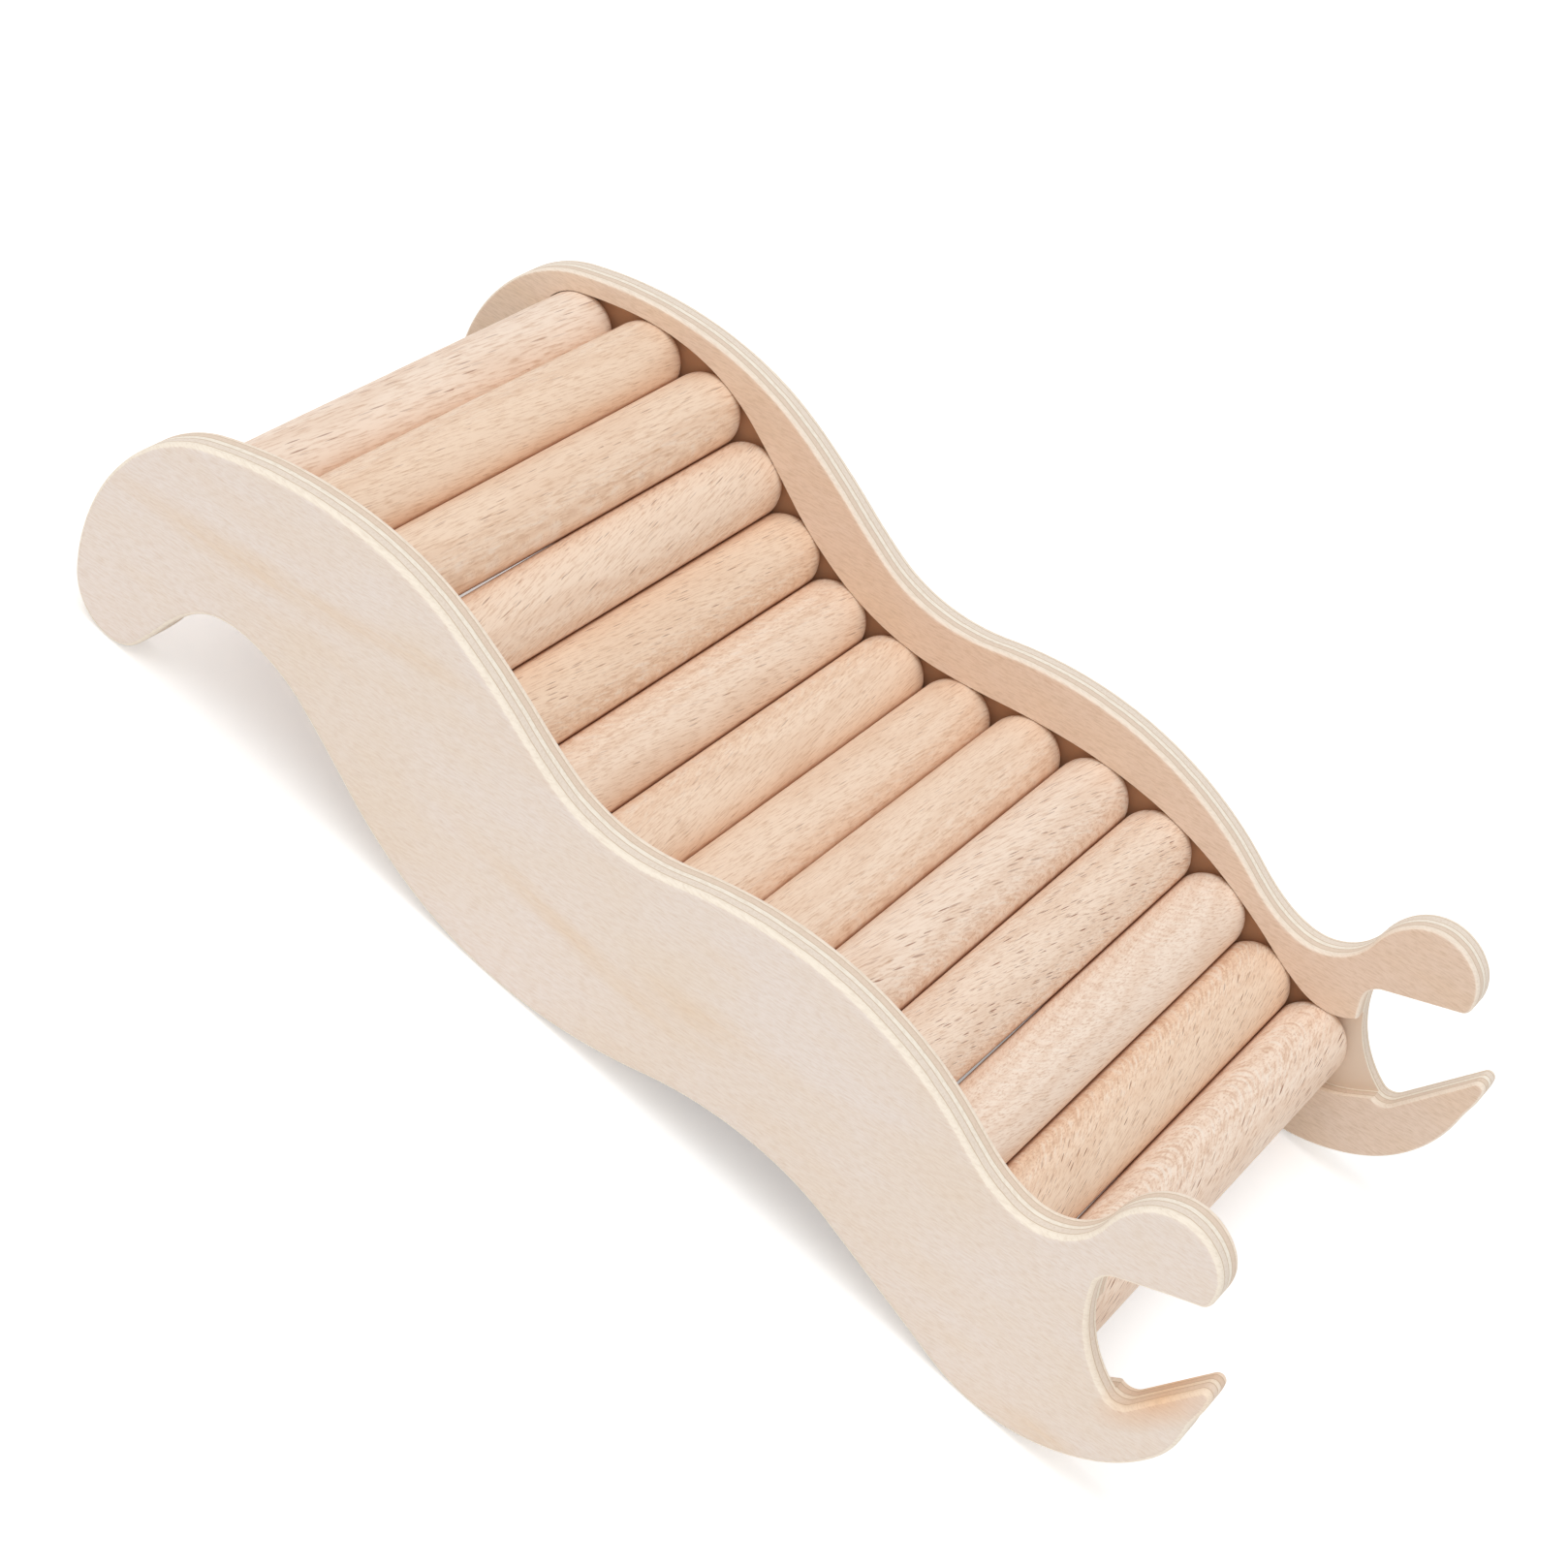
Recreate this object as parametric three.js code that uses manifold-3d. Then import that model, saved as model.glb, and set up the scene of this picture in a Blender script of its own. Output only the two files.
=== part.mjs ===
// Hamster bridge: two S-shaped plywood side panels with fourteen beech rungs
// glued side by side into a curved channel routed in each panel's inner face.
// Millimetres, +Z up. X runs along the bridge from the hook end to the jaw end,
// Y runs along the rungs. The origin is at the middle of the bridge's footprint,
// on the plane that its three pairs of feet stand on.

import * as THREE from 'three';
import Module from 'manifold-3d';
import { mergeVertices } from 'three/addons/utils/BufferGeometryUtils.js';

const wasm = await Module();
wasm.setup();

// Overall sizes
const bridgeLength = 162.8;
const bridgeHeight = 37;
const bridgeWidth = 92;

// Side panels
const panelThickness = 5.4;
const channelDepth = 2.5;
const edgeEasing = 0.8;

// Rungs
const rungDiameter = 10;
const rungEndRounding = 2.2;
const rungGap = 0.3;
const rungSeatClearance = 0.3;

// Mouth: a straight upper lip and a straight lower jaw joined by a round throat
const throatDepth = 2.4;
const throatCornerEase = 1.7;
const throatWall = 1.1;
const lipTipRadius = 1.4;
const lipTipHeading = -84;
const jawTipRadius = 1;
const jawTipHeading = -78;

// Fineness of the faceted solids: angles in degrees, a length, then counts
const arcStepAngle = 5;
const straightTurn = 1;
const arcStepLength = 4;
const rungSides = 24;
const roundingSteps = 3;
const easingSteps = 2;

const cutOverrun = 1;
const parallelTolerance = 1e-9;

// Edge waypoints: [share of the bridge length, share of the bridge height, heading in degrees].
// The edge is tangent to the heading at each waypoint, and two arcs join it to the next one.
// From the underside of the hook, over its back and along the top edge to the head above the jaw
const upperEdgeShares = [
  [0.060, 0, 180],
  [0, 0.385, 90],
  [0.052, 0.775, 25],
  [0.196, 0.917, 0],
  [0.348, 0.757, -22],
  [0.435, 0.660, 0],
  [0.499, 0.717, 22],
  [0.624, 0.825, 0],
  [0.762, 0.690, -25],
  [0.818, 0.627, 0],
  [0.8645, 0.805, 84],
  [0.910, 1, 0],
];

// From the front of the lower jaw round its belly and back along the underside to the hook
const lowerEdgeShares = [
  [1, 0.490, -90],
  [0.869, 0, 180],
  [0.786, 0.072, 166],
  [0.655, 0.181, 180],
  [0.554, 0.103, 200],
  [0.428, 0, 180],
  [0.267, 0.173, 154],
  [0.147, 0.346, 180],
  [0.105, 0.268, 234],
  [0.083, 0.056, 244],
];

// Ends of the mouth's two straight edges: the lip over the throat and the jaw under it
const lipRootShare = [0.883, 0.662];
const lipEndShare = [0.9484, 0.811];
const jawRootShare = [0.9487, 0.330];
const jawEndShare = [0.9904, 0.642];

// Line through the middle of the rungs, from the first rung on. It ends just behind the throat
const rungLineShares = [
  [0.0755, 0.592, 24],
  [0.168, 0.692, 0],
  [0.279, 0.527, -27],
  [0.429, 0.354, 0],
  [0.531, 0.430, 16],
  [0.663, 0.522, 0],
  [0.795, 0.403, -21],
];
const rungLineEndHeading = 12;

// Where the channel runs out, inside the mouth
const channelEndShare = [0.935, 0.510, 38];

const BEECH = { roughness: 0.6, metalness: 0 };
const rungTones = ['#d9b48f', '#dcb792', '#d8b08a', '#e0bd9b', '#d6ad86', '#dab593', '#deb896'];

const radians = THREE.MathUtils.degToRad;

/** Unit vector at a heading given in degrees. */
function direction(heading) {
  return new THREE.Vector2(Math.cos(radians(heading)), Math.sin(radians(heading)));
}

/** Point of the side view at shares of the bridge's length and height. */
function sharePoint([lengthShare, heightShare]) {
  return new THREE.Vector2((lengthShare - 1 / 2) * bridgeLength, heightShare * bridgeHeight);
}

/** Waypoint of the side view, with its heading, from one row of shares. */
function shareWaypoint([lengthShare, heightShare, heading]) {
  return { point: sharePoint([lengthShare, heightShare]), heading };
}

/** Heading in degrees from one point to another. */
function headingOf(from, to) {
  return THREE.MathUtils.radToDeg(to.clone().sub(from).angle());
}

/** Points along the arc that leaves `start` at direction `along` and ends at `end`. */
function arcPoints(start, along, end) {
  const chord = end.clone().sub(start);
  const turn = 2 * Math.atan2(along.cross(chord), along.dot(chord));
  if (Math.abs(turn) < radians(straightTurn)) return [end.clone()];
  const radius = chord.length() / 2 / Math.sin(Math.abs(turn) / 2);
  const byAngle = Math.abs(turn) / radians(arcStepAngle);
  const byLength = (Math.abs(turn) * radius) / arcStepLength;
  const steps = Math.ceil(Math.max(byAngle, byLength));
  const points = [];
  for (let i = 1; i <= steps; i += 1) {
    const angle = (turn * i) / steps;
    const reach = 2 * radius * Math.sin(Math.abs(angle) / 2);
    const toPoint = along.clone().rotateAround(new THREE.Vector2(), angle / 2);
    points.push(start.clone().addScaledVector(toPoint, reach));
  }
  return points;
}

/** Points along two tangent arcs from one waypoint to the next, without the first waypoint. */
function biarcPoints(from, to) {
  const leave = direction(from.heading);
  const arrive = direction(to.heading);
  const span = to.point.clone().sub(from.point);
  const sum = leave.clone().add(arrive);
  const quadratic = 2 * (1 - leave.dot(arrive));
  const linear = 2 * span.dot(sum);
  const reach = quadratic < parallelTolerance
    ? span.lengthSq() / linear
    : (Math.sqrt(linear ** 2 + 4 * quadratic * span.lengthSq()) - linear) / (2 * quadratic);
  const before = from.point.clone().addScaledVector(leave, reach);
  const after = to.point.clone().addScaledVector(arrive, -reach);
  const joint = before.clone().lerp(after, 1 / 2);
  const middle = after.clone().sub(before).normalize();
  return [...arcPoints(from.point, leave, joint), ...arcPoints(joint, middle, to.point)];
}

/** Smooth line through waypoints. */
function smoothLine(waypoints) {
  const points = [waypoints[0].point.clone()];
  for (let i = 1; i < waypoints.length; i += 1) points.push(...biarcPoints(waypoints[i - 1], waypoints[i]));
  return points;
}

/** Waypoint on a tip's round, `radius` inside the end of the straight edge that the round touches. */
function tipWaypoint(edgeEnd, edgeHeading, tipHeading, radius) {
  const centre = edgeEnd.clone().addScaledVector(direction(edgeHeading - 90), radius);
  return { point: centre.addScaledVector(direction(tipHeading + 90), radius), heading: tipHeading };
}

/** The throat's arc: its two ends, the heading between them and half of the angle it turns through. */
function throatArc() {
  const start = sharePoint(lipRootShare);
  const end = sharePoint(jawRootShare);
  const halfChord = start.distanceTo(end) / 2;
  const halfTurn = 2 * Math.atan(throatDepth / halfChord);
  const radius = halfChord / Math.sin(halfTurn);
  return { start, end, radius, heading: headingOf(start, end), halfTurn: THREE.MathUtils.radToDeg(halfTurn) };
}

/** Waypoints round the mouth, from the head's front over the tip of the lip to the tip of the jaw. */
function mouthWaypoints() {
  const throat = throatArc();
  const lipEnd = sharePoint(lipEndShare);
  const jawEnd = sharePoint(jawEndShare);
  const lipHeading = headingOf(lipEnd, throat.start);
  const jawHeading = headingOf(throat.end, jawEnd);
  const easeTurn = THREE.MathUtils.radToDeg(throatCornerEase / throat.radius);
  const startHeading = throat.heading - throat.halfTurn;
  const endHeading = throat.heading + throat.halfTurn;
  const intoThroat = direction(startHeading + easeTurn / 2);
  const outOfThroat = direction(endHeading - easeTurn / 2);
  const lipRootEase = throat.start.clone().addScaledVector(direction(lipHeading), -throatCornerEase);
  const throatStart = throat.start.clone().addScaledVector(intoThroat, throatCornerEase);
  const throatEnd = throat.end.clone().addScaledVector(outOfThroat, -throatCornerEase);
  const jawRootEase = throat.end.clone().addScaledVector(direction(jawHeading), throatCornerEase);
  return [
    tipWaypoint(lipEnd, lipHeading, lipTipHeading, lipTipRadius),
    { point: lipEnd, heading: lipHeading },
    { point: lipRootEase, heading: lipHeading },
    { point: throatStart, heading: startHeading + easeTurn },
    { point: throatEnd, heading: endHeading - easeTurn },
    { point: jawRootEase, heading: jawHeading },
    { point: jawEnd, heading: jawHeading },
    tipWaypoint(jawEnd, jawHeading, jawTipHeading, jawTipRadius),
  ];
}

/** Closed outline of a side panel in the side view. */
function panelOutline() {
  const upper = upperEdgeShares.map(shareWaypoint);
  const lower = lowerEdgeShares.map(shareWaypoint);
  const outline = smoothLine([...upper, ...mouthWaypoints(), ...lower, upper[0]]);
  outline.pop();
  return outline;
}

/** Points at one side of a line, `offset` to the left of its direction of travel. */
function offsetLine(line, offset) {
  return line.map((point, i) => {
    const before = line[Math.max(i - 1, 0)];
    const after = line[Math.min(i + 1, line.length - 1)];
    const along = after.clone().sub(before).normalize();
    return point.clone().add(new THREE.Vector2(-along.y, along.x).multiplyScalar(offset));
  });
}

/** Waypoints through the middle of the rungs. The last one leaves a wall between its rung and the throat. */
function rungWaypoints() {
  const throat = throatArc();
  const setBack = throatDepth + throatWall + rungDiameter / 2;
  const middle = throat.start.clone().lerp(throat.end, 1 / 2);
  const end = middle.addScaledVector(direction(throat.heading - 90), setBack);
  return [...rungLineShares.map(shareWaypoint), { point: end, heading: rungLineEndHeading }];
}

/** Outline of the routed channel: round at the hook end, running out into the mouth. */
function channelOutline() {
  const line = smoothLine([...rungWaypoints(), shareWaypoint(channelEndShare)]);
  const halfWidth = rungDiameter / 2 + rungSeatClearance;
  const upperSide = offsetLine(line, halfWidth);
  const lowerSide = offsetLine(line, -halfWidth).reverse();
  const roundEnd = arcPoints(lowerSide.at(-1), line[0].clone().sub(line[1]).normalize(), upperSide[0]);
  roundEnd.pop();
  return [...upperSide, ...lowerSide, ...roundEnd];
}

/** Middles of the rungs: as many as fit on the rung line, each one pitch from the one before. */
function rungMiddles() {
  const line = smoothLine(rungWaypoints());
  const pitch = rungDiameter + rungGap;
  const middles = [line[0].clone()];
  for (let i = 1; i < line.length; i += 1) {
    let reach = crossing(middles.at(-1), line[i - 1], line[i], pitch);
    while (reach !== null) {
      middles.push(line[i - 1].clone().lerp(line[i], reach));
      reach = crossing(middles.at(-1), line[i - 1], line[i], pitch);
    }
  }
  return middles;
}

/** Share of the way from a to b that lies `distance` from a centre, going out, or null. */
function crossing(centre, a, b, distance) {
  if (centre.distanceTo(b) < distance) return null;
  const step = b.clone().sub(a);
  const offset = a.clone().sub(centre);
  const half = offset.dot(step) / step.lengthSq();
  const rest = (offset.lengthSq() - distance ** 2) / step.lengthSq();
  return Math.sqrt(half ** 2 - rest) - half;
}

/** Solid between y = near and y = far with the given outline in the side view and its rims eased. */
function plateGeometry(outline, near, far, easing) {
  const geometry = new THREE.ExtrudeGeometry(new THREE.Shape(outline), {
    depth: far - near - 2 * easing,
    bevelEnabled: easing > 0,
    bevelThickness: easing,
    bevelSize: easing,
    bevelOffset: -easing,
    bevelSegments: easingSteps,
  });
  geometry.rotateX(Math.PI / 2);
  geometry.translate(0, far - easing, 0);
  return geometry;
}

/** Manifold solid of a closed geometry. */
function toSolid(geometry) {
  const bare = geometry.clone();
  bare.deleteAttribute('normal');
  bare.deleteAttribute('uv');
  const merged = mergeVertices(bare);
  return new wasm.Manifold(new wasm.Mesh({
    numProp: 3,
    vertProperties: new Float32Array(merged.attributes.position.array),
    triVerts: new Uint32Array(merged.index.array),
  }));
}

/** Geometry of a manifold solid. */
function toGeometry(solid) {
  const mesh = solid.getMesh();
  const geometry = new THREE.BufferGeometry();
  geometry.setAttribute('position', new THREE.BufferAttribute(mesh.vertProperties, 3));
  geometry.setIndex(new THREE.BufferAttribute(mesh.triVerts, 1));
  geometry.computeVertexNormals();
  return geometry;
}

/** Side panel at side -1 or +1 of the rungs, with its channel in the face towards them. */
function sidePanel(name, side) {
  const outerFace = side * (bridgeWidth / 2);
  const innerFace = side * (bridgeWidth / 2 - panelThickness);
  const channelFloor = innerFace + side * channelDepth;
  const channelMouth = innerFace - side * cutOverrun;
  const blank = plateGeometry(
    panelOutline(),
    Math.min(outerFace, innerFace),
    Math.max(outerFace, innerFace),
    edgeEasing,
  );
  const cutter = plateGeometry(
    channelOutline(),
    Math.min(channelFloor, channelMouth),
    Math.max(channelFloor, channelMouth),
    0,
  );
  const panel = new THREE.Mesh(
    toGeometry(toSolid(blank).subtract(toSolid(cutter))),
    new THREE.MeshStandardMaterial({ color: '#e4d8c9', roughness: 0.7, metalness: 0 }),
  );
  panel.name = name;
  return panel;
}

/** Half profile of a rung, from one end to the other: flat ends with rounded rims. */
function rungProfile(length) {
  const radius = rungDiameter / 2;
  const profile = [new THREE.Vector2(0, -length / 2)];
  for (const end of [-1, 1]) {
    for (let i = 0; i <= roundingSteps; i += 1) {
      const angle = (Math.PI / 2) * (end < 0 ? i / roundingSteps - 1 : i / roundingSteps);
      profile.push(new THREE.Vector2(
        radius - rungEndRounding + rungEndRounding * Math.cos(angle),
        end * (length / 2 - rungEndRounding) + rungEndRounding * Math.sin(angle),
      ));
    }
  }
  profile.push(new THREE.Vector2(0, length / 2));
  return profile;
}

/** Rung that reaches from the floor of one channel to the floor of the other. */
function rung(index, middle) {
  const length = bridgeWidth - 2 * (panelThickness - channelDepth);
  const mesh = new THREE.Mesh(
    new THREE.LatheGeometry(rungProfile(length), rungSides),
    new THREE.MeshStandardMaterial({ color: rungTones[index % rungTones.length], ...BEECH }),
  );
  mesh.name = `rung_${String(index + 1).padStart(2, '0')}`;
  mesh.position.set(middle.x, 0, middle.y);
  return mesh;
}

const bridge = new THREE.Group();
bridge.add(sidePanel('front_side_panel', -1));
bridge.add(sidePanel('back_side_panel', 1));
rungMiddles().forEach((middle, index) => bridge.add(rung(index, middle)));

export default bridge;
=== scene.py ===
"""Looks of the hamster bridge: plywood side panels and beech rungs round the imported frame, in metres."""

import logging
import math
from collections.abc import Callable
from dataclasses import dataclass, field
from enum import Enum

import bpy
from mathutils import Matrix, Vector


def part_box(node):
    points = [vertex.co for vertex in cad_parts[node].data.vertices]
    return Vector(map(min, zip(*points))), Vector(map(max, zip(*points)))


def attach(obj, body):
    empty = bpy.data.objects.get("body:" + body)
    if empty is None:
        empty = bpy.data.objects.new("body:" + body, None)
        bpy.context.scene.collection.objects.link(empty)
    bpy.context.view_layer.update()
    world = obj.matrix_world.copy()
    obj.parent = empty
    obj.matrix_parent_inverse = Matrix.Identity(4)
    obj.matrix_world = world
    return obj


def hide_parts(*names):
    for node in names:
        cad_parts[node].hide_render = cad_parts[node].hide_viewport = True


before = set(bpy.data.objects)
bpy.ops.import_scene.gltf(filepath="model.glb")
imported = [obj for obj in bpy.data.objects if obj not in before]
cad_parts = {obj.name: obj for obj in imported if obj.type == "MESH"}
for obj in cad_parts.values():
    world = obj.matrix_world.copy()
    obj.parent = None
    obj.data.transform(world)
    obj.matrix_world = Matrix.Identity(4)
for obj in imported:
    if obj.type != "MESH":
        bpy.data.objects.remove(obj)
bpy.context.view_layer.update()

MM = 0.001
TOLERANCE = 1e-6
log = logging.getLogger("hamster_bridge")

Piece = bpy.types.Object
Tree = bpy.types.NodeTree
Socket = bpy.types.NodeSocket
Rows = tuple[tuple[float, float, float], ...]
EdgeTest = Callable[[Vector, Vector], bool]


# Lines of the side view

@dataclass(frozen=True)
class Waypoint:
    """A point of the side view that a line passes, and its heading there in degrees."""

    point: Vector
    heading: float


def direction(heading: float) -> Vector:
    """Unit vector of the side view at a heading in degrees."""
    return Vector((math.cos(math.radians(heading)), math.sin(math.radians(heading))))


def heading_of(start: Vector, end: Vector) -> float:
    """Heading in degrees from one point to another."""
    return math.degrees(math.atan2(end.y - start.y, end.x - start.x))


@dataclass(frozen=True)
class Pen:
    """Draws smooth lines through waypoints, two tangent arcs from each to the next.

    A step turns by step_angle degrees at most, and an arc of less than straight_turn degrees is straight.
    Leaving and arriving are parallel when the squared part of the arcs' equation is under parallel.
    """

    step_angle: float = 3.0
    step_length: float = 0.9 * MM
    straight_turn: float = 0.3
    parallel: float = 1e-9

    def arc(self, start: Vector, along: Vector, end: Vector) -> list[Vector]:
        """Draws one arc.

        Args:
            start: where the arc starts.
            along: unit vector that it leaves in.
            end: where it ends.

        Returns:
            Its points after the first.
        """
        chord = end - start
        turn = 2 * math.atan2(along.x * chord.y - along.y * chord.x, along.dot(chord))
        if abs(turn) < math.radians(self.straight_turn):
            steps = max(1, round(chord.length / self.step_length))
            return [start.lerp(end, i / steps) for i in range(1, steps + 1)]
        radius = chord.length / 2 / math.sin(abs(turn) / 2)
        steps = math.ceil(max(
            abs(turn) / math.radians(self.step_angle), abs(turn) * radius / self.step_length))
        points = []
        for i in range(1, steps + 1):
            angle = turn * i / steps
            reach = 2 * radius * math.sin(abs(angle) / 2)
            points.append(start + reach * (Matrix.Rotation(angle / 2, 2) @ along))
        return points

    def through(self, waypoints: list[Waypoint]) -> list[Vector]:
        """Draws a line.

        Args:
            waypoints: what the line passes, in order.

        Returns:
            The line's points, the first waypoint included.
        """
        line = [waypoints[0].point.copy()]
        for start, end in zip(waypoints, waypoints[1:]):
            leave, arrive = direction(start.heading), direction(end.heading)
            span = end.point - start.point
            squared_part = 2 * (1 - leave.dot(arrive))
            plain_part = 2 * span.dot(leave + arrive)
            if squared_part < self.parallel:
                reach = span.length_squared / plain_part
            else:
                root = math.sqrt(plain_part ** 2 + 4 * squared_part * span.length_squared)
                reach = (root - plain_part) / (2 * squared_part)
            before, after = start.point + reach * leave, end.point - reach * arrive
            joint = before.lerp(after, 0.5)
            line += self.arc(start.point, leave, joint)
            line += self.arc(joint, (after - before).normalized(), end.point)
        return line

    @staticmethod
    def beside(line: list[Vector], offset: float) -> list[Vector]:
        """Points at one side of a line.

        Args:
            line: the points of the line.
            offset: distance to the left of its direction of travel.

        Returns:
            As many points, moved aside.
        """
        moved = []
        for i, point in enumerate(line):
            along = (line[min(i + 1, len(line) - 1)] - line[max(i - 1, 0)]).normalized()
            moved.append(point + offset * Vector((-along.y, along.x)))
        return moved


@dataclass(frozen=True)
class SideView:
    """The bridge's side view, from the hook on the left to the open mouth on the right.

    Each row of an edge is a share of the length, a share of the height and a heading.
    """

    length: float = 162.8 * MM
    height: float = 37 * MM
    rung_radius: float = 5 * MM
    seat_clearance: float = 0.3 * MM
    throat_depth: float = 2.4 * MM
    throat_corner: float = 1.7 * MM
    throat_wall: float = 1.1 * MM
    lip_tip: tuple[float, float] = (1.4 * MM, -84)
    jaw_tip: tuple[float, float] = (0.9 * MM, -78)
    pen: Pen = Pen()
    upper_edge: Rows = (
        (0.060, 0, 180), (0, 0.385, 90), (0.052, 0.775, 25), (0.196, 0.917, 0), (0.348, 0.757, -22),
        (0.435, 0.660, 0), (0.499, 0.717, 22), (0.624, 0.825, 0), (0.762, 0.690, -25), (0.818, 0.627, 0),
        (0.8645, 0.805, 84), (0.910, 1, 0))
    lower_edge: Rows = (
        (1, 0.490, -90), (0.869, 0, 180), (0.786, 0.072, 166), (0.655, 0.181, 180), (0.554, 0.103, 200),
        (0.428, 0, 180), (0.267, 0.173, 154), (0.147, 0.346, 180), (0.105, 0.268, 234), (0.083, 0.056, 244))
    lip: tuple[tuple[float, float], tuple[float, float]] = ((0.883, 0.662), (0.9484, 0.811))
    jaw: tuple[tuple[float, float], tuple[float, float]] = ((0.9487, 0.330), (0.9904, 0.642))
    rung_line: Rows = (
        (0.0755, 0.592, 24), (0.168, 0.692, 0), (0.279, 0.527, -27), (0.429, 0.354, 0), (0.531, 0.430, 16),
        (0.663, 0.522, 0), (0.795, 0.403, -21))
    rung_line_end: float = 12
    channel_end: tuple[float, float, float] = (0.935, 0.510, 38)

    def point(self, share: tuple[float, ...]) -> Vector:
        """Point at shares of the length and height."""
        return Vector(((share[0] - 0.5) * self.length, share[1] * self.height))

    def waypoints(self, rows: Rows) -> list[Waypoint]:
        """Waypoints of an edge's rows."""
        return [Waypoint(self.point(row), row[2]) for row in rows]

    @staticmethod
    def tip(edge_end: Vector, edge_heading: float, tip: tuple[float, float]) -> Waypoint:
        """Puts a waypoint on the round of a tip.

        Args:
            edge_end: end of the straight edge that the round touches.
            edge_heading: that edge's heading.
            tip: the round's radius, and the heading wanted on it.

        Returns:
            The waypoint.
        """
        radius, heading = tip
        centre = edge_end + radius * direction(edge_heading - 90)
        return Waypoint(centre + radius * direction(heading + 90), heading)

    def mouth(self) -> list[Waypoint]:
        """Draws the mouth up.

        Returns:
            The waypoints from the lip's tip round the throat to the jaw's tip.
        """
        (start, lip_end), (end, jaw_end) = map(self.point, self.lip), map(self.point, self.jaw)
        half_chord = (end - start).length / 2
        half_turn = 2 * math.atan(self.throat_depth / half_chord)
        ease_turn = math.degrees(self.throat_corner * math.sin(half_turn) / half_chord)
        lip_heading, jaw_heading = heading_of(lip_end, start), heading_of(end, jaw_end)
        into = heading_of(start, end) - math.degrees(half_turn)
        out = heading_of(start, end) + math.degrees(half_turn)
        return [
            self.tip(lip_end, lip_heading, self.lip_tip),
            Waypoint(lip_end, lip_heading),
            Waypoint(start - self.throat_corner * direction(lip_heading), lip_heading),
            Waypoint(start + self.throat_corner * direction(into + ease_turn / 2), into + ease_turn),
            Waypoint(end - self.throat_corner * direction(out - ease_turn / 2), out - ease_turn),
            Waypoint(end + self.throat_corner * direction(jaw_heading), jaw_heading),
            Waypoint(jaw_end, jaw_heading),
            self.tip(jaw_end, jaw_heading, self.jaw_tip),
        ]

    def panel_outline(self) -> list[Vector]:
        """Closed outline of a side panel."""
        upper = self.waypoints(self.upper_edge)
        return self.pen.through([*upper, *self.mouth(), *self.waypoints(self.lower_edge), upper[0]])[:-1]

    def channel_outline(self) -> list[Vector]:
        """Draws the routed channel, which is round at the hook and runs out into the mouth.

        Returns:
            Its closed outline.
        """
        start, end = self.point(self.lip[0]), self.point(self.jaw[0])
        set_back = self.throat_depth + self.throat_wall + self.rung_radius
        last_rung = start.lerp(end, 0.5) + set_back * direction(heading_of(start, end) - 90)
        line = self.pen.through([
            *self.waypoints(self.rung_line), Waypoint(last_rung, self.rung_line_end),
            *self.waypoints((self.channel_end,))])
        half_width = self.rung_radius + self.seat_clearance
        upper, lower = self.pen.beside(line, half_width), self.pen.beside(line, -half_width)
        round_end = self.pen.arc(lower[0], (line[0] - line[1]).normalized(), upper[0])[:-1]
        return [*upper, *reversed(lower), *round_end]


# Hand work on meshes

def select_only(piece: Piece) -> None:
    """Selects one piece, makes it active and drops every other selection.

    Args:
        piece: the object to select.
    """
    bpy.ops.object.select_all(action="DESELECT")
    piece.select_set(True)
    bpy.context.view_layer.objects.active = piece


def edit(piece: Piece, edges: EdgeTest | None = None) -> None:
    """Goes into edit mode with some edges selected.

    Args:
        piece: the object to edit.
        edges: test on an edge's two ends for what is selected, or None for everything.
    """
    select_only(piece)
    bpy.ops.object.mode_set(mode="EDIT")
    bpy.ops.mesh.select_mode(type="EDGE")
    bpy.ops.mesh.select_all(action="SELECT" if edges is None else "DESELECT")
    if edges is not None:
        bpy.ops.object.mode_set(mode="OBJECT")
        vertices = piece.data.vertices
        for edge in piece.data.edges:
            edge.select = edges(*(vertices[i].co for i in edge.vertices))
        bpy.ops.object.mode_set(mode="EDIT")


def leave_edit() -> None:
    """Turns all faces outward and goes back to object mode."""
    bpy.ops.mesh.select_all(action="SELECT")
    bpy.ops.mesh.normals_make_consistent(inside=False)
    bpy.ops.object.mode_set(mode="OBJECT")


def round_edges(piece: Piece, edges: EdgeTest, width: float, segments: int) -> None:
    """Rounds edges of a piece.

    Args:
        piece: the object to edit.
        edges: test on an edge's two ends for what is rounded.
        width: how far from the edge the round starts.
        segments: number of flats that draw the round.
    """
    edit(piece, edges)
    bpy.ops.mesh.bevel(offset=width, offset_pct=0, segments=segments, profile=0.5, affect="EDGES",
                       clamp_overlap=False)
    leave_edit()


def apply_modifier(piece: Piece, kind: str, **settings: object) -> None:
    """Adds a modifier to a piece, sets it and applies it.

    Args:
        piece: the object that gets it.
        kind: Blender's name of the modifier.
        settings: the modifier's own properties.
    """
    select_only(piece)
    bpy.ops.object.modifier_add(type=kind)
    modifier = piece.modifiers[-1]
    for name, value in settings.items():
        setattr(modifier, name, value)
    bpy.ops.object.modifier_apply(modifier=modifier.name)


def smooth(piece: Piece, crease: float = 30) -> None:
    """Shades the rounded parts smooth and keeps flat faces flat.

    Args:
        piece: the object to shade.
        crease: edges sharper than this, in degrees, stay crisp.
    """
    select_only(piece)
    bpy.ops.object.shade_smooth_by_angle(angle=math.radians(crease))
    apply_modifier(piece, "WEIGHTED_NORMAL", keep_sharp=True)


def copy_of(piece: Piece, name: str) -> Piece:
    """Copies a piece with a mesh of its own.

    Args:
        piece: the object to copy.
        name: the copy's name.

    Returns:
        The copy, selected and active.
    """
    select_only(piece)
    bpy.ops.object.duplicate(linked=False)
    copy = bpy.context.active_object
    copy.name = copy.data.name = name
    return copy


# Materials

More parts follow.
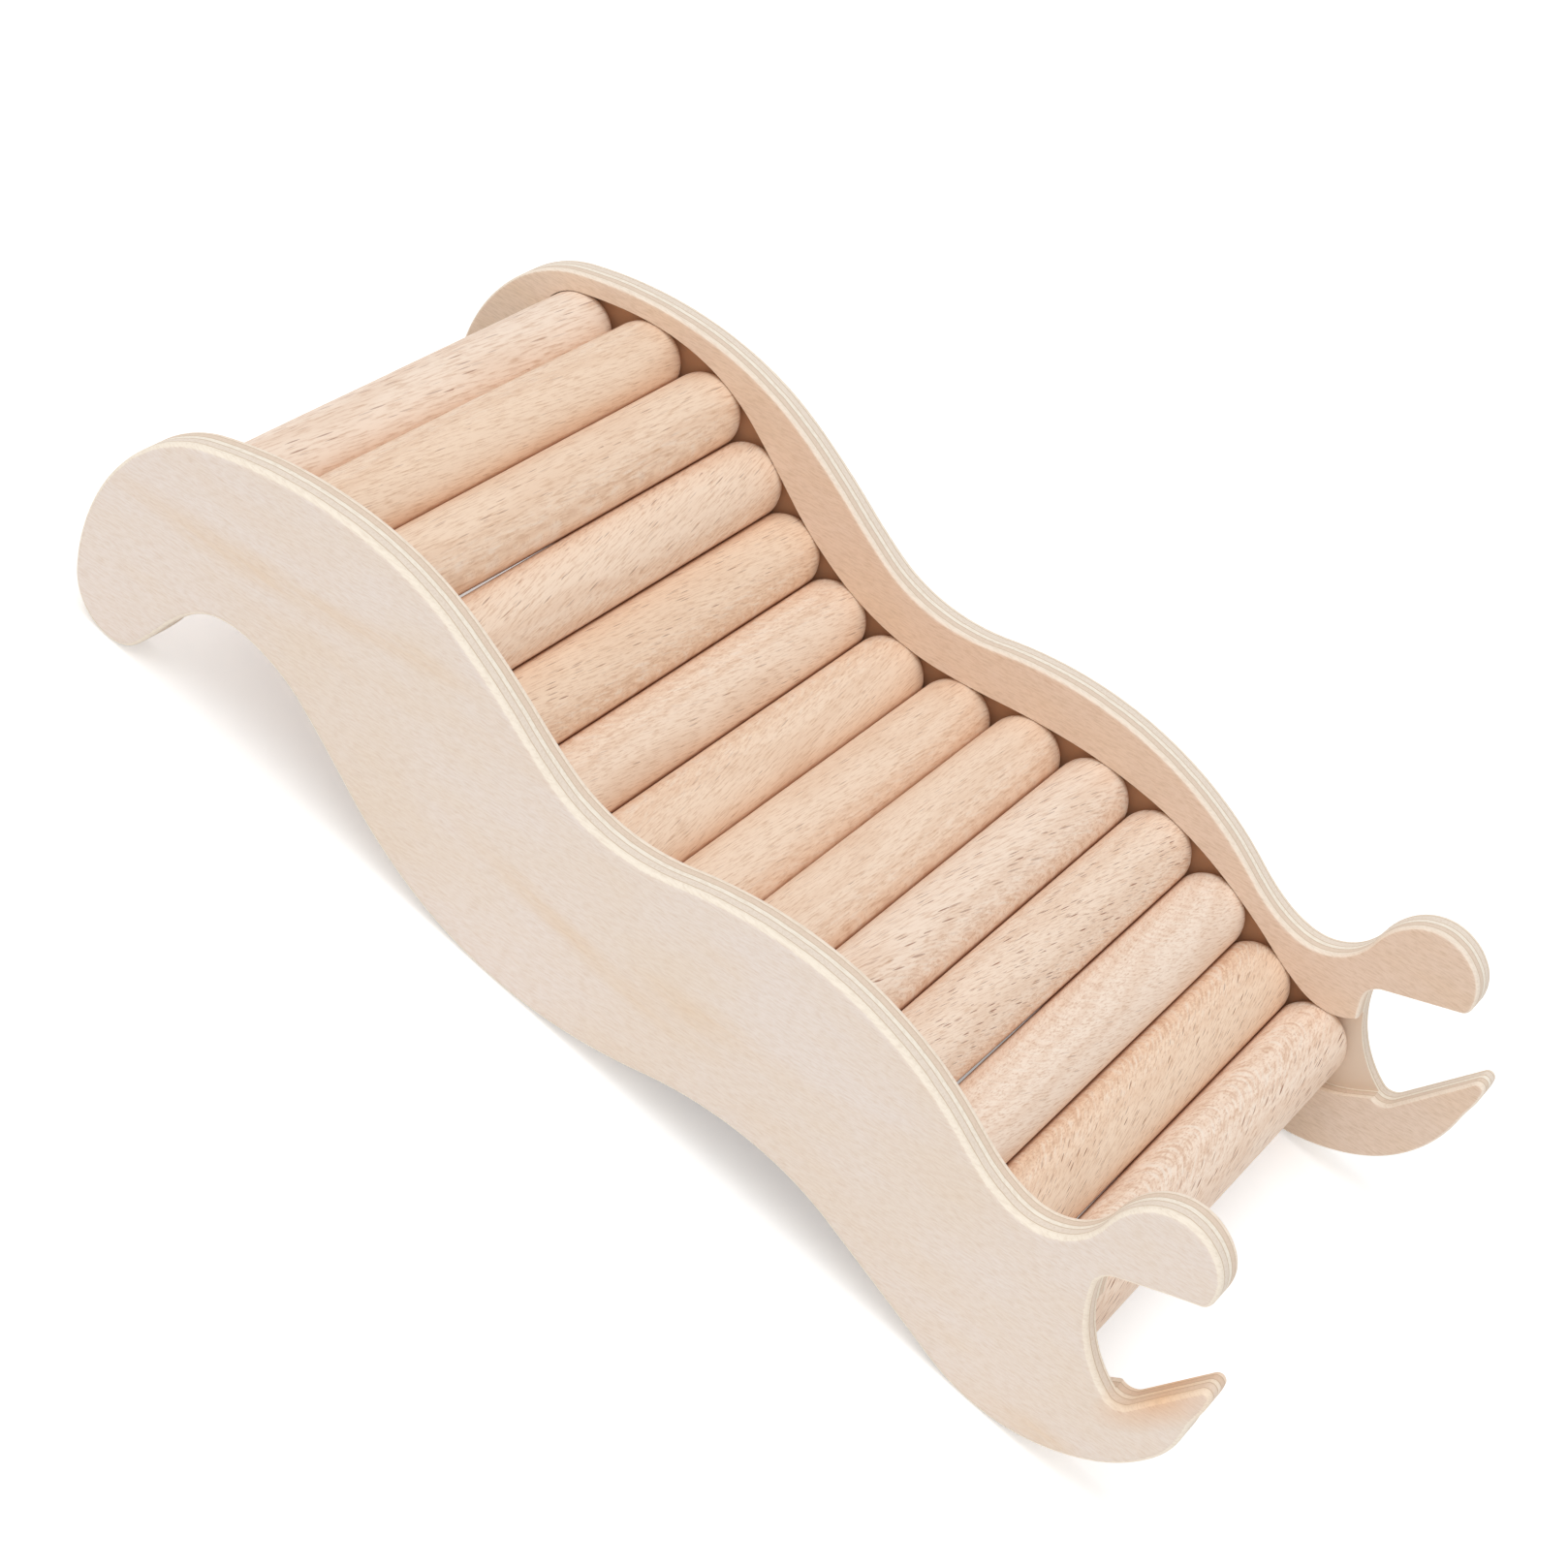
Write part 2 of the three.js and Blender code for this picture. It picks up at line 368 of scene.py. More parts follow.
def linear(colour: str) -> tuple[float, float, float, float]:
    """Linear colour, with full alpha, of an sRGB colour as "#rrggbb"."""
    seen = [int(colour[i:i + 2], 16) / 255 for i in (1, 3, 5)]
    return (*(c / 12.92 if c <= 0.04045 else ((c + 0.055) / 1.055) ** 2.4 for c in seen), 1.0)


class Shading:
    """The node tree of a material or world in the making, and the place that its patterns lie on."""

    tree: Tree
    place: Socket

    def take(self, owner: bpy.types.Material | bpy.types.World) -> None:
        """Takes the tree of a material or world, emptied.

        Args:
            owner: the material or world.
        """
        owner.use_nodes = True
        self.tree = owner.node_tree
        self.tree.nodes.clear()

    def add(self, kind: str, inputs: dict[str | int, object], output: str | int = 0,
            **settings: object) -> Socket:
        """Adds one node.

        Args:
            kind: Blender's name of the node, after "ShaderNode".
            inputs: a value, or an output socket to link, for inputs by identifier or number.
            output: identifier or number of the output that is wanted.
            settings: the node's own properties.

        Returns:
            The output socket.
        """
        node = self.tree.nodes.new("ShaderNode" + kind)
        for name, value in settings.items():
            setattr(node, name, value)
        by_name = {socket.identifier: socket for socket in node.inputs}
        for key, value in inputs.items():
            socket = node.inputs[key] if isinstance(key, int) else by_name[key]
            if isinstance(value, Socket):
                self.tree.links.new(value, socket)
            else:
                socket.default_value = value
        if isinstance(output, int):
            return node.outputs[output]
        return next(socket for socket in node.outputs if socket.identifier == output)

    def end(self, kind: str, surface: Socket) -> None:
        """Ends the tree, of the kind "Material" or "World", with the shader to show."""
        output = self.tree.nodes.new("ShaderNodeOutput" + kind)
        self.tree.links.new(surface, output.inputs["Surface"])

    def cells(self, size: tuple[float, float, float], turn: float = 0) -> Socket:
        """Place counted in cells of a size in millimetres, turned about Y by an angle in degrees."""
        turned = self.add("Mapping", {"Vector": self.place, "Rotation": (0, math.radians(turn), 0)})
        return self.add("VectorMath", {0: turned, 1: tuple(1 / (MM * c) for c in size)}, operation="MULTIPLY")

    def squareness(self) -> Socket:
        """How squarely the surface faces along the rungs, from 0 to 1."""
        along = self.add("SeparateXYZ", {0: self.add("NewGeometry", {}, "Normal")}, "Y")
        return self.add("Math", {0: along}, operation="ABSOLUTE")


@dataclass(frozen=True)
class Streak:
    """One long soft mark on the near panel, in millimetres, and how steeply it rises in degrees."""

    x: float
    z: float
    length: float
    width: float
    rise: float
    y: float = -46
    depth: float = 40

    def shown(self, shading: Shading) -> Socket:
        """How strongly the mark shows in a shading, from 1 in its middle to 0 at its rim."""
        near = shading.add("Mapping", {
            "Vector": shading.place, "Location": (MM * self.x, MM * self.y, MM * self.z),
            "Rotation": (0, math.radians(-self.rise), 0),
            "Scale": tuple(MM * c / 2 for c in (self.length, self.depth, self.width))}, vector_type="TEXTURE")
        return shading.add("TexGradient", {"Vector": near}, "Fac", gradient_type="SPHERICAL")


@dataclass
class BirchPlywood(Shading):
    """Sanded, unfinished five-ply birch board, grain of the face plies along the bridge.

    The eye gets a pale face with hair-fine grain and faint tan streaks, and cut edges banded by the
    plies: cream long grain, greyer cross grain with short flecks, thin tan glue lines between them.
    Lengths are in millimetres, and depths are counted from the inner face.
    """

    inner_face: float = 40.6
    ply_ends: tuple[float, ...] = (1.0, 2.05, 3.0, 4.3, 5.4)
    ply_colours: tuple[str, ...] = ("#fdeedd", "#eedac7", "#fff5e6", "#f4e6d7", "#fff3e2")
    glue_line: float = 0.06
    glue_colour: str = "#dbc5ab"
    pore_colour: str = "#c7ab8d"
    outer_face_depths: tuple[float, float] = (4.4, 4.6)
    outer_face_colour: str = "#f3e6dc"
    inner_face_colour: str = "#f1dac7"
    cloud_tint: str = "#fefaf2"
    streak_colour: str = "#efd6bb"
    line_colour: str = "#d2ac90"
    nap_colour: str = "#d8bda2"
    floor_depths: tuple[float, float] = (1.2, 1.5)
    floor_colour: str = "#ead6c2"
    # Painted shade: the brown of the channel's floor under the rungs, and the X in millimetres where it gives
    # way to the floor's own colour
    recess_shade_colour: str = "#cd9c78"
    recess_shade_ends: tuple[float, float] = (60, 63)
    streaks: tuple[Streak, ...] = (
        Streak(-64, 20.5, 44, 5.0, 9), Streak(-42, 25.5, 32, 3.6, 14), Streak(9, 15, 22, 5.0, 12),
        Streak(69, 3.2, 18, 4.0, 8), Streak(-8, 12, 40, 4.0, -4))
    # Painted shade: a soft warm brown patch over the near jaw's edge, and its tint
    painted_jaw_shade: Streak = Streak(76.0, 17.2, 18, 7.0, 59)
    jaw_shade_tint: str = "#fcdfc6"
    roughness: float = 0.68

    def material(self) -> bpy.types.Material:
        """Makes the finish.

        Returns:
            Its material.
        """
        material = bpy.data.materials.new("birch_plywood_sanded")
        self.take(material)
        self.place = self.add("TexCoord", {}, "Object")
        depth = self.depth()
        fibre = self.add("TexNoise", {
            "Vector": self.cells((1.5, 0.5, 0.16), 5), "Scale": 1.0, "Detail": 4.0, "Roughness": 0.7})
        # Sanding breaks the face ply off in short splinters along its grain, so its border is frayed
        splinters = self.add("TexNoise", {
            "Vector": self.cells((0.9, 0.4, 0.25), 5), "Scale": 1.0, "Detail": 5.0, "Roughness": 0.75})
        frayed = self.add("Math", {0: splinters, 1: 0.3, 2: self.squareness()}, operation="MULTIPLY_ADD")
        on_face = self.add("MapRange", {
            "Value": frayed, "From Min": 0.97, "From Max": 1.08}, interpolation_type="SMOOTHSTEP")
        colour = self.add("Mix", {
            "Factor_Float": on_face, "A_Color": self.cut_edge(depth, fibre),
            "B_Color": self.face(depth, fibre)}, "Result_Color", data_type="RGBA")
        # Painted shade: a warm brown laid over the near jaw's edge, standing in for the warm shade that falls
        # there
        colour = self.add("Mix", {
            "Factor_Float": self.painted_jaw_shade.shown(self), "A_Color": colour,
            "B_Color": linear(self.jaw_shade_tint)}, "Result_Color", data_type="RGBA", blend_type="MULTIPLY")
        bump = self.add("Bump", {"Strength": 0.35, "Distance": 0.04 * MM, "Height": fibre})
        surface = self.add("BsdfPrincipled", {
            "Base Color": colour, "Roughness": self.roughness, "Specular IOR Level": 0.25, "Normal": bump})
        self.end("Material", surface)
        return material

    def depth(self) -> Socket:
        """Depth through the plies.

        Returns:
            Millimetres from the inner face, slightly wavy because veneers are never quite flat.
        """
        across = self.add("SeparateXYZ", {0: self.place}, "Y")
        across = self.add("Math", {0: across}, operation="ABSOLUTE")
        depth = self.add("Math", {0: across, 1: 1 / MM, 2: -self.inner_face}, operation="MULTIPLY_ADD")
        wave = self.add("TexNoise", {
            "Vector": self.cells((9.0, 30.0, 9.0)), "Scale": 1.0, "Detail": 6.0, "Roughness": 0.62})
        wave = self.add("Math", {0: wave, 1: 0.5}, operation="SUBTRACT")
        return self.add("Math", {0: wave, 1: 0.6, 2: depth}, operation="MULTIPLY_ADD")

    def cut_edge(self, depth: Socket, fibre: Socket) -> Socket:
        """Colour of the sawn and sanded edge, ply by ply.

        Args:
            depth: millimetres from the inner face.
            fibre: the hair-fine grain, from 0 to 1.

        Returns:
            The colour.
        """
        share = self.add("Math", {0: depth, 1: self.ply_ends[-1]}, operation="DIVIDE")
        plies = self.add("ValToRGB", {"Fac": share})
        self.band(plies.node.color_ramp, self.ply_colours, self.glue_colour)
        # White marks where a ply lies across the edge and shows its end grain as short flecks
        crosswise = self.add("ValToRGB", {"Fac": share})
        lengthways, across, between = "#000000", "#ffffff", "#808080"
        self.band(crosswise.node.color_ramp, (lengthways, across, lengthways, across, lengthways), between)
        flecks = self.add("TexNoise", {
            "Vector": self.cells((0.26, 0.4, 0.26)), "Scale": 1.0, "Detail": 3.0, "Roughness": 0.7})
        pores = self.add("Mix", {"Factor_Float": crosswise, "A_Float": fibre, "B_Float": flecks})
        pores = self.add("MapRange", {"Value": pores, "From Min": 0.45, "From Max": 0.8, "To Max": 0.4})
        return self.add("Mix", {
            "Factor_Float": pores, "A_Color": plies, "B_Color": linear(self.pore_colour)}, "Result_Color",
            data_type="RGBA")

    def band(self, ramp: bpy.types.ColorRamp, colours: tuple[str, ...], line: str) -> None:
        """Sets a ramp to one colour a ply with a thin soft line between them.

        Args:
            ramp: the ramp, over the whole thickness.
            colours: colour of each ply from the inner face outward.
            line: colour of the lines between them.
        """
        core, rim = self.glue_line / 2, self.glue_line * 2.2
        stops = [(0.0, colours[0])]
        for end, before, after in zip(self.ply_ends, colours, colours[1:]):
            stops += [(end - rim, before), (end - core, line), (end + core, line), (end + rim, after)]
        for _ in range(len(stops) - len(ramp.elements)):
            ramp.elements.new(1.0)
        for element, (at, colour) in zip(ramp.elements, stops):
            element.position = at / self.ply_ends[-1]
            element.color = linear(colour)

    def face(self, depth: Socket, fibre: Socket) -> Socket:
        """Colour of the flat faces and of the channel's floor.

        Args:
            depth: millimetres from the inner face.
            fibre: the hair-fine grain, from 0 to 1.

        Returns:
            The colour.
        """
        outside = self.add("MapRange", {
            "Value": depth, "From Min": self.outer_face_depths[0], "From Max": self.outer_face_depths[1]})
        base = self.add("Mix", {
            "Factor_Float": outside, "A_Color": linear(self.inner_face_colour),
            "B_Color": linear(self.outer_face_colour)}, "Result_Color", data_type="RGBA")
        # Clouds a centimetre or two across, a little warmer and darker
        clouds = self.add("TexNoise", {
            "Vector": self.cells((26.0, 30.0, 11.0), 6), "Scale": 1.0, "Detail": 4.0, "Roughness": 0.6})
        clouds = self.add("MapRange", {"Value": clouds, "From Min": 0.4, "From Max": 0.68})
        # Vessels cut open by the peeling knife: 1 to 3 mm long and 0.1 mm wide, drawn 0.15 mm wide to show
        line = self.add("MapRange", {"Value": fibre, "From Min": 0.5, "From Max": 0.85, "To Max": 0.5})
        # Raised fibres left by the sanding belt: a fine mottling along the grain, stronger on the inside
        nap = self.add("TexNoise", {
            "Vector": self.cells((1.4, 0.5, 0.22), 12), "Scale": 1.0, "Detail": 5.0, "Roughness": 0.65})
        strength = self.add("MapRange", {"Value": outside, "To Min": 0.85, "To Max": 0.48})
        nap = self.add("MapRange", {"Value": nap, "From Min": 0.45, "From Max": 0.75, "To Max": strength})
        coats = (
            (clouds, self.cloud_tint, "MULTIPLY"), (self.streaked(), self.streak_colour, "MIX"),
            (line, self.line_colour, "MIX"), (nap, self.nap_colour, "MIX"))
        for shown, colour, blend in coats:
            base = self.add("Mix", {
                "Factor_Float": shown, "A_Color": base, "B_Color": linear(colour)}, "Result_Color",
                data_type="RGBA", blend_type=blend)
        routed = self.add("MapRange", {
            "Value": depth, "From Min": self.floor_depths[0], "From Max": self.floor_depths[1]})
        inside = self.add("Math", {0: 1.0, 1: outside}, operation="SUBTRACT")
        routed = self.add("Math", {0: routed, 1: inside}, operation="MULTIPLY")
        # Painted shade: under the rungs the channel's floor is darkened to brown for the shade in that
        # recess, and it keeps its own colour where the channel runs out
        along = self.add("SeparateXYZ", {0: self.place})
        unshaded_floor = self.add("MapRange", {
            "Value": along, "From Min": self.recess_shade_ends[0] * MM, "From Max": self.recess_shade_ends[1] * MM})
        floor = self.add("Mix", {
            "Factor_Float": unshaded_floor, "A_Color": linear(self.recess_shade_colour),
            "B_Color": linear(self.floor_colour)}, "Result_Color", data_type="RGBA")
        return self.add("Mix", {
            "Factor_Float": routed, "A_Color": base, "B_Color": floor}, "Result_Color", data_type="RGBA")

    def streaked(self) -> Socket:
        """How much the tan streaks show: tens of millimetres long, feathered by the grain.

        Returns:
            The share of the streaks' colour, up to 0.8.
        """
        shown = self.add("TexNoise", {
            "Vector": self.cells((40.0, 20.0, 7.0), 9), "Scale": 1.0, "Detail": 4.0, "Roughness": 0.5})
        shown = self.add("MapRange", {"Value": shown, "From Min": 0.56, "From Max": 0.9})
        for streak in self.streaks:
            shown = self.add("Math", {0: shown, 1: streak.shown(self)}, operation="ADD", use_clamp=True)
        feather = self.add("TexNoise", {
            "Vector": self.cells((9.0, 9.0, 0.7), 6), "Scale": 1.0, "Detail": 4.0})
        feather = self.add("MapRange", {
            "Value": feather, "From Min": 0.3, "From Max": 0.65, "To Min": 0.3, "To Max": 0.8})
        return self.add("Math", {0: shown, 1: feather}, operation="MULTIPLY")


@dataclass
class BeechDowel(Shading):
    """Turned and sanded, unfinished steamed beech, read from where each point lay in its board.

    The attribute "timber" holds that place: X out from the heart of the tree, Y along the grain and Z
    round the growth rings. The eye gets pinkish tan wood with faint rings, and ray flecks that are dark
    dashes where the dowel cuts across the rays and pale flakes where it runs along them.
    """

    pale: str = "#ffecdb"
    tan: str = "#f7d6b6"
    late_wood: str = "#dfb390"
    thread: str = "#cb9a72"
    fleck: str = "#90573a"
    silk: str = "#fff3e6"
    dull_silk: str = "#cf9f7c"
    end_grain: str = "#c4966c"
    # Painted shade: the warm brown of the crevices where the dowels touch
    crevice_shade_colour: str = "#b87547"
    ring_width: float = 2.1
    roughness: float = 0.58

    def material(self) -> bpy.types.Material:
        """Makes the finish.

        Returns:
            Its material.
        """
        material = bpy.data.materials.new("beech_dowel_turned")
        self.take(material)
        self.place = self.add("Attribute", {}, "Vector", attribute_name="timber")
        tone, quarter, fleckiness, touch = (
            self.add("Attribute", {}, "Fac", attribute_name=name)
            for name in ("tone", "quarter", "fleckiness", "touch"))
        # Fibres and fine vessels: threads 0.05 mm wide, drawn 0.15 mm wide, and two or three millimetres long
        fibre = self.add("TexNoise", {
            "Vector": self.cells((0.22, 2.6, 0.15)), "Scale": 1.0, "Detail": 3.0, "Roughness": 0.6})
        thread = self.add("MapRange", {"Value": fibre, "From Min": 0.48, "From Max": 0.74, "To Max": 0.66})
        # The rays shine on the quarter faces, and show as dark flecks on the others
        strength = self.add("MapRange", {"Value": fleckiness, "To Min": 0.3, "To Max": 1.0})
        along = self.add("MapRange", {"Value": quarter, "From Min": 0.4, "From Max": 0.9})
        across = self.add("MapRange", {"Value": quarter, "From Min": 0.95, "From Max": 0.6})
        shine, dull, dark = (*self.silks(), self.flecks(fleckiness))
        shine, dull, dark = (
            self.add("Math", {
                0: self.add("Math", {0: figure, 1: strength}, operation="MULTIPLY"),
                1: where}, operation="MULTIPLY")
            for figure, where in ((shine, along), (dull, along), (dark, across)))
        # End grain soaks up light: the rounded ends turn browner towards their flat faces
        end = self.add("MapRange", {
            "Value": self.squareness(), "From Min": 0.35, "From Max": 1.0, "To Max": 0.7})
        # Painted shade: the lines where the dowels touch are darkened to a warm brown, for the shade in the
        # crevices between them
        painted_crevice_shade = self.add("MapRange", {
            "Value": touch, "From Min": 0.94, "From Max": 0.995, "To Max": 0.85},
            interpolation_type="SMOOTHSTEP")
        base = self.add("Mix", {
            "Factor_Float": tone, "A_Color": linear(self.pale), "B_Color": linear(self.tan)}, "Result_Color",
            data_type="RGBA")
        coats = (
            (self.rings(), self.late_wood), (thread, self.thread), (shine, self.silk),
            (dull, self.dull_silk), (dark, self.fleck), (end, self.end_grain), (painted_crevice_shade, self.crevice_shade_colour))
        for shown, colour in coats:
            base = self.add("Mix", {
                "Factor_Float": shown, "A_Color": base, "B_Color": linear(colour)}, "Result_Color",
                data_type="RGBA")
        relief = self.add("Math", {0: dark, 1: -0.8, 2: fibre}, operation="MULTIPLY_ADD")
        bump = self.add("Bump", {"Strength": 0.4, "Distance": 0.05 * MM, "Height": relief})
        surface = self.add("BsdfPrincipled", {
            "Base Color": base, "Roughness": self.roughness, "Specular IOR Level": 0.3, "Normal": bump})
        self.end("Material", surface)
        return material

    def rings(self) -> Socket:
        """Growth rings.

        Returns:
            How much late wood shows: it comes on slowly and ends at once, and faintly, as in beech.
        """
        wander = self.add("TexNoise", {
            "Vector": self.cells((18.0, 60.0, 18.0)), "Scale": 1.0, "Detail": 2.0}, "Color")
        wander = self.add("VectorMath", {0: wander, 1: (0.5, 0.5, 0.5)}, operation="SUBTRACT")
        bent = self.add("VectorMath", {
            0: wander, 1: (7 * MM, 0, 7 * MM), 2: self.place}, operation="MULTIPLY_ADD")
        level = self.add("VectorMath", {0: bent, 1: (1, 0, 1)}, operation="MULTIPLY")
        out = self.add("VectorMath", {0: level}, "Value", operation="LENGTH")
        turns = self.add("Math", {0: out, 1: 2 * math.pi / (self.ring_width * MM)}, operation="MULTIPLY")
        swell = self.add("Math", {0: turns}, operation="SINE")
        return self.add("MapRange", {
            "Value": swell, "From Min": -0.2, "From Max": 1.0, "To Max": 0.2},
            interpolation_type="SMOOTHSTEP")

    def flecks(self, fleckiness: Socket) -> Socket:
        """Rays cut across: upright plates 0.1 to 0.2 mm thick and 1 to 3 mm high.

        Args:
            fleckiness: the share of the rays that are thick enough to show.

        Returns:
            How strongly a fleck shows.
        """
        cells = self.cells((5.0, 3.8, 0.32))
        ray = self.add("TexVoronoi", {"Vector": cells, "Scale": 1.0, "Randomness": 1.0}, "Position")
        chance = self.add("SeparateXYZ", {0: ray.node.outputs["Color"]})
        aside = self.add("VectorMath", {0: cells, 1: ray}, operation="SUBTRACT")
        upright = self.add("VectorMath", {0: aside, 1: (0.35, 1, 0)}, operation="MULTIPLY")
        upright = self.add("VectorMath", {0: upright, 1: upright}, "Value", operation="DOT_PRODUCT")
        thick = self.add("Math", {0: self.add("SeparateXYZ", {0: aside}, "Z")}, operation="ABSOLUTE")
        # Spindles, pointed at both ends: the thickness shrinks with the square of the height
        rarest = self.add("Math", {0: 1.0, 1: fleckiness}, operation="SUBTRACT")
        reach = self.add("MapRange", {"Value": chance, "From Min": rarest, "To Min": -0.03, "To Max": 0.13})
        inside = self.add("Math", {0: reach, 1: upright}, operation="SUBTRACT")
        inside = self.add("Math", {0: thick, 1: -0.5, 2: inside}, operation="MULTIPLY_ADD")
        body = self.add("MapRange", {"Value": inside, "From Min": -0.02, "From Max": 0.03})
        depth = self.add("MapRange", {"Value": chance.node.outputs["Y"], "To Min": 0.2, "To Max": 1.0})
        return self.add("Math", {0: body, 1: depth}, operation="MULTIPLY")

    def silks(self) -> tuple[Socket, Socket]:
        """Rays cut along: the same plates seen flat, which the dowel's round cuts into nested arcs.

        Returns:
            How much shines, and how much is dull.
        """
        sheets = self.add("TexNoise", {
            "Vector": self.cells((5.0, 2.8, 0.16)), "Scale": 1.0, "Detail": 1.0, "Roughness": 0.5})
        shine = self.add("MapRange", {"Value": sheets, "From Min": 0.47, "From Max": 0.3, "To Max": 0.6})
        dull = self.add("MapRange", {"Value": sheets, "From Min": 0.55, "From Max": 0.68, "To Max": 0.42})
        # Where a plate leaves the wood it shows its thin rim, a small dull ring
        cells = self.cells((1.5, 0.9, 0.26))
        ray = self.add("TexVoronoi", {"Vector": cells, "Scale": 1.0, "Randomness": 1.0})
        rim = self.add("Math", {0: ray, 1: 0.27}, operation="SUBTRACT")
        rim = self.add("Math", {0: rim}, operation="ABSOLUTE")
        rim = self.add("MapRange", {"Value": rim, "From Min": 0.09, "From Max": 0.02, "To Max": 0.4})
        return shine, self.add("Math", {0: dull, 1: rim}, operation="MAXIMUM")


# Pieces

class Side(Enum):
    """The two side panels, with the CAD node that each stands for."""

    NEAR = "front_side_panel"
    FAR = "back_side_panel"


@dataclass
class SidePanels:
    """The two plywood side panels, each with a channel routed in its inner face.

    They are mirror images, but for the near jaw, which the hand that sanded it left shorter at its tip.
    """

    view: SideView = field(default_factory=SideView)
    half_width: float = 46 * MM
    thickness: float = 5.4 * MM
    channel_depth: float = 2.5 * MM
    outer_easing: float = 0.8 * MM
    inner_easing: float = 0.5 * MM
    easing_segments: int = 5
    overrun: float = 1 * MM
    sanded_off: float = 2.5 * MM
    sanded_reach: float = 12 * MM
    jaw_tip_length: float = 1.5 * MM
    lip_clearance: float = 4 * MM
    finish: BirchPlywood = field(default_factory=BirchPlywood)

    def build(self) -> list[Piece]:
        """Builds and dresses both panels.

        Returns:
            The near one and the far one.
        """
        material = self.finish.material()
        near = self.near_panel()
        far = self.mirrored(near)
        self.shorten_jaw(near)
        for panel, side in ((near, Side.NEAR), (far, Side.FAR)):
            smooth(panel)
            panel.data.materials.clear()
            panel.data.materials.append(material)
            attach(panel, "root")
            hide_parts(side.value)
            log.info("%s: %d faces", panel.name, len(panel.data.polygons))
        return [near, far]

    def near_panel(self) -> Piece:
        """Makes the near panel: saws it out, eases its rims and routs its channel.

        Returns:
            The panel, its jaw still at full length.
        """
        inner_face = self.thickness - self.half_width
        panel = self.sawn("side_panel_near", self.view.panel_outline(), -self.half_width, inner_face)
        for rim, easing in ((-self.half_width, self.outer_easing), (inner_face, self.inner_easing)):
            round_edges(panel, lambda a, b: all(abs(c.y - rim) < TOLERANCE for c in (a, b)), easing,
                        self.easing_segments)
        cutter = self.sawn("channel_cutter", self.view.channel_outline(), inner_face - self.channel_depth,
                           inner_face + self.overrun)
        apply_modifier(panel, "BOOLEAN", operation="DIFFERENCE", solver="EXACT", object=cutter)
        bpy.data.objects.remove(cutter)
        return panel

    @staticmethod
    def sawn(name: str, outline: list[Vector], near: float, far: float) -> Piece:
        """Saws a plate out along an outline.

        Args:
            name: the plate's name.
            outline: closed outline in the side view.
            near: Y of its near face.
            far: Y of its far face.

        Returns:
            The plate, at the origin.
        """
        drawing = bpy.data.curves.new(name, "CURVE")
        drawing.dimensions, drawing.fill_mode = "2D", "BOTH"
        line = drawing.splines.new("POLY")
        line.points.add(len(outline) - 1)
        line.points.foreach_set("co", [c for p in outline for c in (p.x, p.y, 0, 1)])
        line.use_cyclic_u = True
        plate = bpy.data.objects.new(name, drawing)
        bpy.context.scene.collection.objects.link(plate)
        plate.location.y, plate.rotation_euler.x = near, math.radians(90)
        select_only(plate)
        bpy.ops.object.convert(target="MESH")
        bpy.ops.object.transform_apply(location=True, rotation=True, scale=True)
        edit(plate)
        bpy.ops.mesh.remove_doubles(threshold=TOLERANCE)
        bpy.ops.mesh.dissolve_faces()
        bpy.ops.mesh.select_all(action="SELECT")
        bpy.ops.mesh.extrude_region_move(TRANSFORM_OT_translate={"value": (0, far - near, 0)})
        leave_edit()
        return plate

    def shorten_jaw(self, panel: Piece) -> None:
        """Sands the near jaw's tip shorter than the far one, easing out down the jaw.

        What lies within jaw_tip_length of the tip and past the lip moves by sanded_off, and what lies near
        it less and less, out to sanded_reach.

        Args:
            panel: the near panel.
        """
        start, end = map(self.view.point, self.view.jaw)
        along = (end - start).normalized()
        tip_start = along.dot(end) - self.jaw_tip_length
        past_lip = self.view.point(self.view.lip[1]).x + self.lip_clearance
        edit(panel, lambda a, b: all(along.dot(c.xz) > tip_start and c.x > past_lip for c in (a, b)))
        back = -self.sanded_off * along
        bpy.ops.transform.translate(value=(back.x, 0, back.y), use_proportional_edit=True,
                                    proportional_edit_falloff="SMOOTH", proportional_size=self.sanded_reach)
        leave_edit()

    @staticmethod
    def mirrored(near: Piece) -> Piece:
        """Makes the far panel, a mirror image of the near one.

        Args:
            near: the near panel, its jaw still at full length.

        Returns:
            The far panel.
        """
        far = copy_of(near, "side_panel_far")
        far.scale.y = -1
        bpy.ops.object.transform_apply(location=True, rotation=True, scale=True)
        edit(far)
        leave_edit()
        return far


@dataclass(frozen=True)
class Cut:
    """How one rung lay in its board.

    tone runs from 0, pale pink, to 1, tan. turn is the way to the outside of the tree as the rung lies,
    in degrees from the jaws' side up over the crown. slope is the angle in degrees between the grain and
    the rung. fleckiness is how many of its rays show, and how strongly, from 0 to 1. heart is the distance
    to the middle of the tree in millimetres. coarseness is how much larger its figure is than usual.
    """

    tone: float
    turn: float
    slope: float
    fleckiness: float
    heart: float
    coarseness: float = 1.0


@dataclass(frozen=True)
class Slack:
    """How far the near end of a rung stands back, in millimetres, from the gap at one side of it.

    toward is the way to that gap along the row: 1 for the jaws' side, -1 for the hook's.
    """

    toward: int
    back: float


